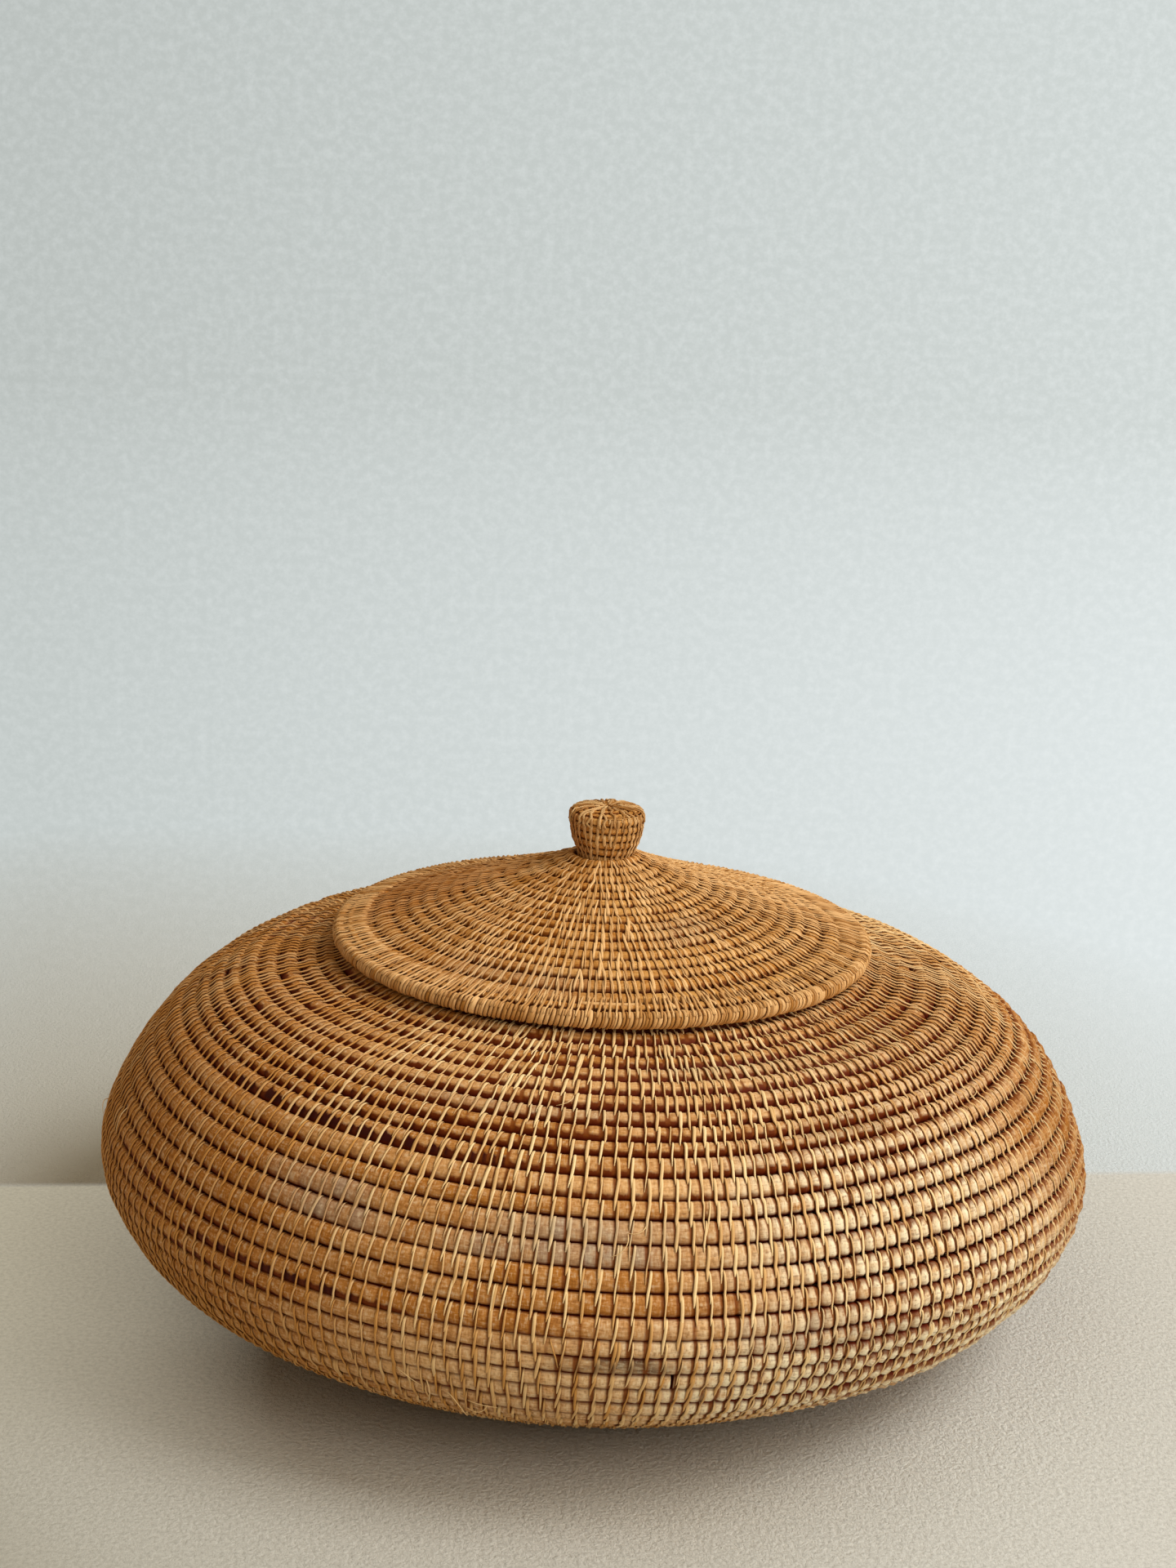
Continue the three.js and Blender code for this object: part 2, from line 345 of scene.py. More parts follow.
def caneRodFinish(name, colours):
    finish = Finish(name, 0.62, 0.12)
    mix, ramp, value = finish.mix, finish.ramp, finish.value
    shade = tints(colours)
    fibre = finish.grain(230, 30, 3, 0.6)
    speck = finish.grain(900, 10, 2, 0.6)
    patch = finish.grain(70, 4, 2)
    base = mix(ramp(patch * 0.5 + value("tone") * 0.6, 0.25, 0.85), shade["honey"], shade["amber"])
    # painted highlight where the pale marks lie
    lit = mix(value("pale") * ramp(patch + speck * 0.5, 0.45, 0.85), base, shade["pale"])
    grey = mix(value("grey") * ramp(patch + speck * 0.5, 0.3, 0.8), lit, shade["grey"])
    warm = mix(value("warm"), grey, shade["warm"])
    stained = mix(value("stain") * ramp(patch + speck * 0.4, 0.4, 0.8), warm, shade["stain"])
    dark = mix(ramp(fibre * 0.6 + speck * 0.4, 0.5, 0.34) * 0.55, stained, shade["umber"])
    light = mix(ramp(fibre * 0.5 + speck * 0.5, 0.5, 0.66) * 0.42, dark, shade["pale"])
    # painted shade on the lower side of rods in the hollows, darkest where the marks are deepest
    depth = value("hollow")
    ragged = depth * 0.55 - value("side") + speck * 0.4
    deep = mix(ramp(depth, 0.65, 1.15), shade["hollow"], shade["pit"])
    hollow = mix(ramp(ragged, 0.75, 1.05) * ramp(depth, 0.02, 0.25), light, deep)
    # painted shade beside the strands, as their shadows, and on the upper side of lit rods
    creaseShaded = mix(ramp(value("crease") + speck * 0.5, 0.75, 1.15) * 0.93, hollow, shade["crease"])
    # painted shade in the grooves between coils, on faces turned away from the outside
    grooveShaded = mix(ramp(speck * 0.15 - value("facing"), -0.72, -0.44), creaseShaded, shade["groove"])
    finish.feed("Base Color", grooveShaded)
    finish.feed("Roughness", 0.5 + fibre * 0.25)
    finish.bump(fibre * 0.6 + speck * 0.4, 0.55, 0.5 * mm)
    return finish.material


strandColours = {
    "pale": (255, 225, 168),
    "tan": (206, 148, 74),
    "grey": (188, 168, 140),
    "warm": (182, 114, 50),
    "stain": (104, 74, 48),
    "shade": (98, 42, 2),
}


def strandFinish(name, colours):
    finish = Finish(name, 0.5, 0.2)
    mix, ramp, value = finish.mix, finish.ramp, finish.value
    shade = tints(colours)
    lines = finish.grain(60, 14, 3)
    base = mix(ramp(value("tone") * 0.75 + lines * 0.4, 0.15, 1.0), shade["pale"], shade["tan"])
    grey = mix(value("grey") * 0.7, base, shade["grey"])
    warm = mix(value("warm") * 0.85, grey, shade["warm"])
    stained = mix(value("stain") * 0.8, warm, shade["stain"])
    # painted shade on each strand's underside edges
    edged = mix(value("edge") * 0.8, stained, shade["shade"])
    # painted shade where a strand dips into a groove
    finish.feed("Base Color", mix(value("groove"), edged, shade["shade"]))
    finish.feed("Roughness", 0.42 + lines * 0.2)
    finish.bump(lines, 0.25, 0.2 * mm)
    return finish.material


lidRodColours = {
    **caneRodColours,
    "honey": (224, 168, 92),
    "amber": (186, 120, 44),
    "pale": (250, 212, 152),
    # the lid's colours of painted shade: under the rods, beside the strands, in the grooves and in the deepest
    # hollows
    "hollow": (124, 66, 6),
    "crease": (122, 64, 4),
    "groove": (92, 40, 4),
    "pit": (84, 34, 4),
}
caneRod = caneRodFinish("caneRod", caneRodColours)
caneStrand = strandFinish("caneStrand", strandColours)
lidRod = caneRodFinish("lidRod", lidRodColours)
lidStrand = strandFinish("lidStrand", {**strandColours, "pale": (246, 200, 138), "tan": (176, 116, 42)})
knobStrand = strandFinish("knobStrand", {**strandColours, "pale": (226, 184, 126), "tan": (160, 106, 44)})
print("finishes made")


# coiled work
def pickSpots(made, count, span):
    return np.unique(((np.arange(count) + made.uniform(0, 1, count)) / count * span).astype(int))


class Coil:                        # one spiral of rod on an outline, from its upper or outer end
    def __init__(self, outline, start, pitch, halfThick, seed, sign=1, tilt=0.0, lift=0.0,
                 powers=((0, 2.2),), hollows=((0, 0.3),), rowShift=((0, 0),),
                 proud=0.25 * mm, wander=0.15 * mm):
        self.outline, self.start, self.pitch, self.halfThick = outline, start, pitch, halfThick
        self.sign, self.tilt, self.lift = sign, tilt, lift   # sign is 1 where distance grows with the row
        self.powers, self.hollows, self.rowShift = powers, hollows, rowShift
        self.proud, self.wander = proud, wander
        self.bump = waves(seed, 2.3)
        self.sway = waves(seed + 1, 1.7)

    def distance(self, row, azimuth):           # row is counted down from the first turn's upper side
        weight = smoothStep(1, 7, row) * (1 - smoothStep(30, 34, row))
        shift = np.interp(row, *zip(*self.rowShift)) * mm
        return self.start + self.sign * (self.pitch * row + shift + self.tilt * np.sin(azimuth) * weight)

    def place(self, row, azimuth, height):
        distance = self.distance(row, azimuth)
        normal = self.outline.normal(distance)
        flat = self.outline.at(distance) + normal * height[..., None]
        return roundAxis(flat, azimuth, self.lift), roundAxis(normal, azimuth)

    def power(self, row):
        return np.interp(row, *zip(*self.powers))

    def raised(self, row):                      # how far the rod stands out at a place along the coil
        return self.bump(row) * self.proud

    def surface(self, row, across):             # depth of the rod's face below its crest, across -1 to 1
        power = self.power(row)
        return self.halfThick * (1 - np.clip(1 - np.abs(across) ** power, 0, 1) ** (1 / power))

    def strandDepth(self, row, rel, face, sag):   # a strand lies on two rods and bridges their groove
        depth = self.surface(row, (rel % 1.0) * 2 * face - face)
        return np.where((rel > 0.5) & (rel < 1.5), np.minimum(depth, sag), depth)

    def setColumns(self, first, last, spacing, seed, least=0.0):
        # where the stitches of each turn stand. Files of stitches run on from turn to turn, and where
        # the basket widens a new one starts between two others.
        made = np.random.default_rng(seed)
        radii, widths = zip(*spacing)
        columns, heirs = {}, {}
        for turn in range(first, last + 1):
            radius = self.outline.at(max(self.distance(turn + 0.5, 0.0), least))[0]
            wanted = max(5, round(turnAngle * radius / np.interp(radius, radii, widths)))
            if turn == first:
                here = (np.arange(wanted) + 0.5) / wanted * turnAngle - math.pi
            else:
                here, heir = columns[turn - 1].copy(), np.arange(len(columns[turn - 1]))
                change = wanted - len(here)
                if change > 0:
                    spots = pickSpots(made, change, len(here) - 1)
                    here = np.insert(here, spots + 1, (here[spots] + here[spots + 1]) / 2)
                    heir = heir + np.searchsorted(spots, heir, side="left")
                elif change < 0:
                    spots = pickSpots(made, -change, len(here))
                    heir = heir - np.searchsorted(spots, heir, side="left")
                    heir = np.minimum(heir, len(here) - len(spots) - 1)
                    here = np.delete(here, spots)
                heirs[turn - 1] = heir
                for _ in range(7):          # even out the files, then scatter them a little
                    around = np.concatenate([[here[-1] - turnAngle], here, [here[0] + turnAngle]])
                    here = here + 0.25 * ((around[2:] + around[:-2]) / 2 - here)
                here = here + made.normal(0, 0.04, len(here)) * turnAngle / len(here)
            columns[turn] = here
        heirs[last] = np.arange(len(columns[last]))
        self.columns, self.heirs = columns, heirs

    def stitches(self, fromTurn, toTurn):       # start and end azimuth of each stitch, and its turn
        found = [(self.columns[turn], self.columns[turn + 1][self.heirs[turn]],
                  np.full(len(self.columns[turn]), float(turn)))
                 for turn in range(fromTurn, toTurn) if turn in self.columns and turn + 1 in self.columns]
        return tuple(np.concatenate(x) for x in zip(*found))


def spread(marks, kind, row, azimuth):          # how strongly the marks of one kind lie on each place
    found = np.zeros(np.broadcast(row, azimuth).shape)
    for turn, centre, halfWidth, halfRows, markKind, strength in marks:
        if markKind == kind:
            down = (row - 0.5 - azimuth / turnAngle - turn) / halfRows
            aside = (azimuth - math.radians(centre)) / math.radians(halfWidth)
            found = np.maximum(found, np.exp(-aside ** 4 - down ** 4) * strength)
    return found


cellStops = np.array([0.0, 0.14, 0.38, 0.62, 0.86])   # rings of a rod between one stitch and the next
creaseShadeStops = (1.0, 0.6, 0.08, 0.25, 0.95)            # how dark the painted shade is at each ring, darkest beside the strands


def rodRings(columns, fromRow, toRow, made):    # row, azimuth, place between two stitches, and luck
    rings = []
    for turn in sorted(columns):
        here = columns[turn]
        following = np.append(here[1:], here[0] + turnAngle)
        azimuth = (here[:, None] + (following - here)[:, None] * cellStops).ravel()
        luck = np.repeat(made.uniform(0, 1, len(here)), len(cellStops))
        rings.append([turn + 0.5 + azimuth / turnAngle, azimuth, np.tile(cellStops, len(here)), luck])
    rings = np.concatenate(rings, axis=1)
    rings = rings[:, np.argsort(rings[0], kind="stable")]
    inside = (rings[0] >= fromRow) & (rings[0] <= toRow)
    return rings[:, inside & np.append(True, np.diff(rings[0]) > 1e-5)]


def makeRod(name, coil, fromRow, toRow, style, body, slot, material, seed, marks=()):
    made = np.random.default_rng(seed)
    row, azimuth, cell, luck = rodRings(coil.columns, fromRow, toRow, made)
    rightward = np.sin(azimuth)
    bead = np.sin(cell ** style["skew"] * math.pi) ** 0.8
    # at the lit side the rods stand out between the strands
    lit = smoothStep(*style["side"], rightward) * smoothStep(6, 10, row)
    ends = np.sort([coil.distance(row + away, azimuth) for away in (-0.5, 0.5)], axis=0)
    middle, half = (ends[1] + ends[0]) / 2, (ends[1] - ends[0]) / 2 * (style["fill"] - 0.03 * lit)
    low, high = (np.clip(x, 0, coil.outline.length) for x in (middle - half, middle + half))
    wide = np.maximum((high - low) / 2, 0.4 * mm)
    middle = (high + low) / 2 + coil.sway(row) * coil.wander
    thick = coil.halfThick * np.clip(wide / half, 0.15, 1)
    crest = coil.raised(row) + style["bead"] * (1 + 5 * lit) * (bead * (0.6 + 0.7 * luck) - 0.4)
    crest = crest + made.normal(0, style["rough"], len(row))
    normal = coil.outline.normal(middle)
    flat = coil.outline.at(middle) + normal * (crest - thick)[:, None]
    centre = roundAxis(flat, azimuth, coil.lift)[None]
    outward = roundAxis(normal, azimuth)[None]
    along = roundAxis(alongOutline(normal), azimuth)[None]
    sides = len(rodAngles)
    power = coil.power(row)[None]
    notch = wide * (1 + 0.03 * bead - 0.2 * lit * (1 - bead))
    shaped = tubes(centre, outward, along, thick[None], notch[None], sides, power=power)
    spans = len(row) - 1
    run = np.concatenate([[0], np.cumsum(np.linalg.norm(np.diff(centre[0], axis=0), axis=1))])
    rows = max(1, round(math.sqrt(run[-1] / (turnAngle * coil.halfThick))))
    grain = shaped["uv"].copy()
    grain[..., 0] = np.interp(grain[..., 0] * spans, np.arange(spans + 1), run)
    facing, side = section(sides, power)
    # painted shade beside the strands, as their shadows, with some of the painted shade under the rods;
    # stronger on the lit side, weaker on the left
    crease = np.interp(cell, cellStops, creaseShadeStops) * np.clip(0.7 + 0.4 * luck + 0.3 * lit, 0, 1.1)
    # painted shade in the hollows under each rod, weaker on the lit right side
    gaping = np.interp(row - 0.5, *zip(*coil.hollows)) * (1 - 0.55 * smoothStep(*style["closed"], rightward))
    hollow = np.maximum(gaping, spread(marks, "hollow", row, azimuth))
    hollow = hollow * (0.45 + 0.8 * luck) * (1.2 - 0.5 * bead)
    crease = (crease * style["crease"] + 0.4 * hollow) * (1 - 0.75 * smoothStep(0.1, 0.5, -rightward))
    tone = 0.5 + coil.sway(row * 0.13) * 0.25 + 0.2 * coil.bump(row * 2.1) + (luck - 0.5) * style["patchy"]
    tone = tone + spread(marks, "amber", row, azimuth) - spread(marks, "honey", row, azimuth)
    kinds = {kind: spread(marks, kind, row, azimuth) for kind in ("grey", "stain", "warm", "pale")}
    kinds["grey"] *= 0.35 + luck
    # the painted highlight is strongest in the middle of each swelling
    kinds["pale"] *= 0.1 + 1.15 * bead
    kinds = {**kinds, "tone": tone, "hollow": hollow, "crease": crease}
    kinds = {kind: value[None, :, None] for kind, value in kinds.items()}
    # painted shade on the upper side of rods on the lit side, as if the row above shaded them
    shut = smoothStep(0.05, 0.75, side) * (lit * (1.05 - 0.75 * cell))[None, :, None]
    kinds["crease"] = kinds["crease"] + shut
    return makePiece(name, shaped, body, slot, material, foldStrip(shaped["uv"], spans, sides, rows), grain,
                     facing=facing, side=side, **kinds)


# places along a stitch, in rows from where it starts
stitchStops = np.array([0.0, 0.07, 0.17, 0.32, 0.52, 0.76, 1.0, 1.22, 1.44, 1.64, 1.82, 1.95])
strandEdgeShade = np.clip((0.5 - section(6, 2.0)[0]) / 0.8, 0, 1)   # painted shade: a strand is darker towards its underside


def strandGrain(shaped, made, scale=0.02):      # every strand takes its grain from a place of its own
    return shaped["uv"] * np.array([scale, 1.0]) + made.uniform(0, 40, (len(shaped["uv"]), 1, 1, 2))


def makeStitches(name, coil, fromRow, toRow, style, body, slot, material, seed, marks=()):
    # each stitch crosses its own row, bridges the groove and runs out in a point on the row below
    made = np.random.default_rng(seed)
    start, end, turnOf = coil.stitches(math.floor(fromRow) - 1, math.ceil(toRow) + 1)
    begins = turnOf + 0.5 + start / turnAngle
    alive = (begins >= fromRow) & (begins < toRow) & (made.uniform(0, 1, len(start)) > style["missing"])
    start, end, turnOf = start[alive], end[alive], turnOf[alive]
    twin = made.uniform(0, 1, len(start)) < style["twin"]
    aside = np.concatenate([np.zeros(len(start)), made.uniform(0.9, 1.6, twin.sum()) * mm])
    start, end, turnOf = (np.concatenate([x, x[twin]]) for x in (start, end, turnOf))
    count = len(start)
    radius = np.maximum(coil.outline.at(coil.distance(turnOf + 0.5, start))[:, 0], 4 * mm)
    side = style["beside"] / radius
    begin = start + side * made.uniform(0.6, 1.4, count) + aside / radius
    finish = end - side * made.uniform(0.0, 1.8, count) + aside * made.uniform(0, 1, count) / radius
    reach = made.uniform(*style["reach"], count)[:, None]
    rel = np.where(stitchStops > 1, 1 + (stitchStops - 1) * reach, stitchStops)
    bow = made.normal(0, 0.32 * mm, count)[:, None] * np.sin(rel * math.pi / 2) / radius[:, None]
    swing = 0.35 * smoothStep(0.1, 1.9, rel) + 0.325 * rel
    azimuth = begin[:, None] + (finish - begin)[:, None] * swing + bow
    row = turnOf[:, None] + azimuth / turnAngle + rel
    depth = coil.strandDepth(row, rel, 0.985, style["sag"])
    tail = np.clip((rel - 1.05) / (0.95 * reach - 0.05), 0, 1)
    taper = np.interp(rel, [0, 0.2], [0.75, 1.0]) * (1 - (1 - style["tip"]) * tail)
    thick = style["thick"] / 2 * np.sqrt(taper)
    lit = smoothStep(0.1, 0.6, np.sin(azimuth)) * smoothStep(6, 10, row)
    halfWide = style["width"] / 2 * made.uniform(*style["vary"], count)[:, None] * taper
    # this setting also narrows the strands on the lit side
    halfWide = halfWide * (1 - 0.5 * style["tanned"] * lit)
    upper = coil.raised(turnOf + 0.5 + start / turnAngle)
    lower = coil.raised(turnOf + 1.5 + end / turnAngle)
    raised = upper[:, None] + (lower - upper)[:, None] * smoothStep(0.6, 1.4, rel) - style["sunk"] * lit
    loose = made.exponential(1.0, count)[:, None] * style["loose"] * np.exp(-((rel - 1.0) / 0.35) ** 2)
    dive = style["thick"] * 1.2 * smoothStep(0.8, 1.0, tail)
    centre, outward = coil.place(row, azimuth, raised - depth + thick * 0.85 + loose - dive)
    shaped = tubes(centre, outward, alongTurn(azimuth), thick, halfWide, 6)
    grain = strandGrain(shaped, made)
    left, right = smoothStep(0.15, 0.8, -np.sin(start)), smoothStep(0.4, 1.0, np.sin(start))
    tone = made.uniform(0, 0.85, count) - 0.15 * (turnOf < 10)
    # painted shade on strands on the left, away from the lamps, and a little at the far right; painted light on
    # the lit side
    tone = tone + style["tanned"] * (2 * left + right - 0.6 * lit[:, 0])
    kinds = {kind: spread(marks, kind, row, azimuth) for kind in ("grey", "stain", "warm")}
    kinds["tone"] = tone[:, None] + style["low"] * smoothStep(15, 19, row) * (1 - lit)
    # painted shade where a strand lies deep in the groove
    kinds["groove"] = smoothStep(0.15 * coil.halfThick, 0.7 * coil.halfThick, depth)
    makePiece(name, shaped, body, slot, material, packStrips(shaped["uv"], 5.0), grain, edge=strandEdgeShade,
              **{kind: value[..., None] for kind, value in kinds.items()})


innerStops = np.array([0.03, 0.3, 0.7, 1.3, 1.7, 1.97])
innerLean = turnAngle / 240


def makeInnerStitches(name, coil, fromTurn, toTurn, style, body, slot, material, seed):
    made = np.random.default_rng(seed)
    start, end, turnOf = coil.stitches(fromTurn, toTurn)
    rel = innerStops * np.ones((len(start), 1))
    azimuth = start[:, None] + (end - start)[:, None] * rel / 2 + innerLean * (1 - rel)
    row = turnOf[:, None] + azimuth / turnAngle + rel
    depth = coil.strandDepth(row, rel, 0.97, style["sag"])
    centre, outward = coil.place(row, azimuth, -2 * coil.halfThick + depth - style["thick"] * 0.35)
    halfWide = style["width"] / 2 * made.uniform(0.8, 1.2, len(start))[:, None]
    thick = np.full_like(rel, style["thick"] / 2)
    shaped = tubes(centre, outward, alongTurn(azimuth), thick, halfWide, 4)
    tone = made.uniform(0, 1, len(start))[:, None, None]
    makePiece(name, shaped, body, slot, material, packStrips(shaped["uv"], 6.0), strandGrain(shaped, made),
              tone=tone, groove=0.1)


# body of the basket
bodyShape = {
    "wall": [(140, 0), (153, 2.6), (182, 18), (210, 38.5), (225, 70), (215, 102), (194, 130), (165, 149),
             (131, 156.8), (105.5, 164)],
    "baseLead": [(0, 0), (35, 0), (70, 0), (105, 0)],
    "pitch": 8.70 * mm,
    "halfThick": 4.1 * mm,
    "topRow": 9.5 * mm,            # from the mouth down to the first row that shows below the lid
    "topEnd": -1.55,               # the row at which the coil starts, under the mouth rod
    "turns": 33,
    "rodEnds": (0, 4, 8, 12, 17, 21, 25, 29),   # the turn at which each length of rod ends, from the base
    "baseSplit": 70 * mm,          # where the two lengths of the base meet
    "lastRow": 0.45,               # how far the coil stops short of the middle of the base
}
bodySpacing = ((0, 3.0 * mm), (0.06, 3.5 * mm), (0.12, 3.9 * mm), (0.16, 4.4 * mm), (0.19, 5.1 * mm),
               (0.215, 5.8 * mm), (0.225, 6.0 * mm))   # from one stitch to the next, at a radius
bodyCoilStyle = {
    "sign": -1,
    "tilt": 2.6 * mm,
    "powers": ((0, 2.1), (9, 2.2), (10, 3.0), (17, 3.0), (22, 2.6)),
    # strength of the painted shade under the rods, by row
    "hollows": ((-2, 0.5), (0, 0.6), (1, 0.75), (2, 0.75), (3, 0.7), (4, 0.5), (5, 0.65), (6, 0.5),
                (7, 0.75), (8, 0.75), (9, 0.5), (10, 0.3), (11, 0.12), (14, 0.08), (16, 0.15), (18, 0.2),
                (20, 0.25), (24, 0.3)),
    "rowShift": ((0, 0.5), (1, 0.5), (2, -0.1), (3, 0.5), (4, 2.0), (5, 2.6), (6, 2.5), (7, 1.7), (8, 0.4),
                 (9, -1.5), (10, -1.1), (11, -0.4), (12, -1.5), (13, -0.7), (14, 0), (17, 0.8), (18, -0.2),
                 (19, -1.2), (20, -1.6), (21, 0), (22, 1.8), (24, 0)),
}
rodStyle = {
    "bead": 0.3 * mm,
    "rough": 0.06 * mm,
    "fill": 0.965,
    # strength of the painted shade beside the strands
    "crease": 0.95,
    "patchy": 0.45,
    "side": (0.1, 0.6),
    # closed: where on the right the painted shade under the rods weakens
    "closed": (0.35, 0.85),
    "skew": 1.35,
}
stitchStyle = {
    "width": 1.1 * mm,
    "thick": 0.85 * mm,
    "beside": 0.85 * mm,
    "sag": 0.75 * mm,
    "sunk": 0.4 * mm,
    "loose": 0.12 * mm,
    "tip": 0.3,
    "reach": (0.35, 0.8),
    "vary": (0.55, 1.5),
    "missing": 0.02,
    "twin": 0.03,
    # strength of the painted shade and light on the strands by side
    "tanned": 0.3,
    "low": 0.3,
}
innerStyle = {"width": 1.5 * mm, "thick": 0.6 * mm, "sag": 0.5 * mm}
# the hollow marks are painted shade; the broad amber and warm marks over the left are painted shade on the side
# away from the lamps; the pale marks, all on the right, are painted highlights
bodyMarks = (                      # row, azimuth and half width in degrees, half height in rows, kind, strength
    (12, -1, 10, 0.5, "grey", 0.9), (13, -3, 12, 0.5, "grey", 0.8), (12, -31, 7, 0.6, "grey", 0.7),
    (13, -29, 8, 0.6, "grey", 0.7), (16.6, 21, 7, 1.0, "grey", 0.6), (6, -8, 16, 0.6, "grey", 0.4),
    (3, 20, 14, 0.6, "grey", 0.3), (12, 35, 20, 4.0, "pale", 1.0), (16, 40, 24, 3.5, "pale", 0.9),
    (19.5, 36, 32, 3.5, "pale", 1.2), (6.5, 45, 22, 3.5, "pale", 0.45), (20, 26, 46, 3, "pale", 0.35),
    (18, 3.5, 6.5, 0.45, "stain", 0.9), (17.4, 30, 8, 0.5, "stain", 0.5), (7.6, 34, 9, 0.6, "stain", 0.4),
    (14, 82, 22, 5, "stain", 0.3), (9, -33, 30, 0.42, "hollow", 1.7), (16, -34, 14, 0.42, "hollow", 1.3),
    (15, -52, 12, 0.5, "hollow", 0.8), (17, -42, 10, 0.5, "hollow", 0.9), (14, -70, 45, 7, "hollow", 0.3),
    (8, -85, 45, 16, "warm", 0.4), (1, 68, 34, 8, "warm", 0.3), (17, -50, 30, 4, "warm", 0.3),
    (10, -90, 76, 16, "amber", 0.65), (11, 80, 26, 9, "amber", 0.4), (10, -26, 24, 5, "amber", 0.35),
    (18, -42, 30, 4, "amber", 0.25), (14, -6, 12, 0.5, "amber", 0.35), (15, 12, 9, 0.5, "amber", 0.3),
    (4, -5, 60, 4.5, "honey", 0.35), (10, 12, 20, 0.5, "honey", 0.3), (20, 18, 50, 3.5, "honey", 0.6),
)

bodyLine = Outline(bodyShape["wall"], bodyShape["baseLead"])
baseReach = bodyShape["wall"][0][0] * mm
wallLength = bodyLine.length - baseReach
bodyStart = bodyLine.length - bodyShape["topRow"]
bodyRows = bodyStart / bodyShape["pitch"]
lastTurn = int(bodyRows) - 1
bodyCoil = Coil(bodyLine, bodyStart, bodyShape["pitch"], bodyShape["halfThick"], 11, **bodyCoilStyle)
bodyCoil.setColumns(-3, lastTurn, bodySpacing, 5, least=4 * mm)


def rowAt(distance):               # the row at a distance from the middle of the base
    return (bodyStart - distance) / bodyShape["pitch"]


def makeBody():
    ends = [rowAt(baseReach + end * wallLength / bodyShape["turns"]) for end in bodyShape["rodEnds"]]
    ends.append(bodyShape["topEnd"])
    split = rowAt(bodyShape["baseSplit"])
    runs = [(f"wall_rod_{rod + 1:02d}", ends[rod + 1], ends[rod], "cane", 100 + rod) for rod in range(8)]
    runs += [("base_outer_rod", ends[0], split, "dark_cane", 120),
             ("base_centre_rod", split, bodyRows - bodyShape["lastRow"], "dark_cane", 121)]
    for name, low, high, slot, seed in runs:
        piece = makeRod(f"{name}_coil", bodyCoil, low, high, rodStyle, "basket", slot, caneRod, seed + 50,
                        bodyMarks)
        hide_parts(name)
        makeStitches(f"{name}_stitches", bodyCoil, low, high, stitchStyle, "basket", slot, caneStrand, seed,
                     bodyMarks)
    for part, (low, high) in enumerate(((-2, 9), (9, 18), (18, 28), (28, lastTurn))):
        makeInnerStitches(f"inner_stitches_{part + 1}", bodyCoil, low, high, innerStyle, "basket", "cane",
                          caneStrand, 130 + part)


makeBody()
print("basket coiled and sewn")

# loose fibres: row, azimuth in degrees, length and stand-off in mm, turn of the fibre in degrees
fibreList = (
    (21.2, -14, 17, 3.5, 20), (21.6, -12, 12, 2.5, -50), (20.6, -16, 14, 3.0, 60), (21.8, -10, 9, 2.0, 110),
    (20.2, -19, 11, 2.5, -20), (12.6, 4, 10, 1.2, 75), (12.2, 6, 8, 1.0, 105), (5.4, -3, 9, 1.0, 80),
    (14.6, -70, 12, 3.0, 15), (17.4, 40, 12, 2.5, 70), (8.4, 58, 10, 2.0, 100), (2.5, -48, 9, 1.6, 60),
    (16.4, -82, 10, 3.0, -30), (19.4, 18, 12, 2.6, 85),
)


def makeFibres():
    share = np.linspace(0, 1, 9)
    row, azimuth, length, away, turned = (np.array(x, float)[:, None] for x in zip(*fibreList))
    azimuth, turned, length = np.radians(azimuth), np.radians(turned), length * mm
    radius = bodyLine.at(bodyCoil.distance(row, azimuth))[..., 0]
    bent = turned + 0.9 * share
    across = length * share * np.cos(bent) / radius
    down = length * share * np.sin(bent) / bodyShape["pitch"]
    height = away * np.sin(share * 2.6) * mm
    centre, outward = bodyCoil.place(row + azimuth / turnAngle + down, azimuth + across, height)
    wide = np.cross(outward, np.gradient(centre, axis=1))
    wide /= np.linalg.norm(wide, axis=-1)[..., None]
    half = np.interp(share, [0, 1], [0.28 * mm, 0.1 * mm])[None]
    shaped = tubes(centre, outward, wide, half, half, 4)
    makePiece("loose_fibres", shaped, "basket", "cane", caneStrand, packStrips(shaped["uv"], 6.0),
              shaped["uv"] * 0.02, tone=0.3)


makeFibres()


# bound rods: the mouth, the lid's rim and the ring under the lid
def makeRing(name, radius, height, tubeRadius, body, slot, material):
    steps, sides = 240, 10
    azimuth = (np.arange(steps) / steps * turnAngle)[None]
    flat = np.broadcast_to([radius, height], (1, steps, 2))
    outward = roundAxis(np.broadcast_to([1.0, 0.0], (1, steps, 2)), azimuth)
    upward = np.broadcast_to([0.0, 0.0, 1.0], (1, steps, 3))
    half = np.full((1, steps), tubeRadius)
    made = tubes(roundAxis(flat, azimuth), outward, upward, half, half, sides, closed=True)
    grain = made["uv"] * np.array([turnAngle * radius, 1.0])
    # facing here sets how much painted groove shade the core takes between the wraps
    return makePiece(name, made, body, slot, material, foldStrip(made["uv"], steps, sides, 5), grain,
                     tone=0.4, facing=0.6)


wrapStyle = {
    "width": 1.55 * mm,
    "thick": 1.1 * mm,
    "lean": 1.0 * mm,
    "uneven": 0.14 * mm,
    "vary": (0.55, 1.5),
    "broad": 0.03,                 # the share of strands that are twice as broad
    "cover": 0.9,
    "tone": (0.0, 1.0),
    "steps": 18,
}


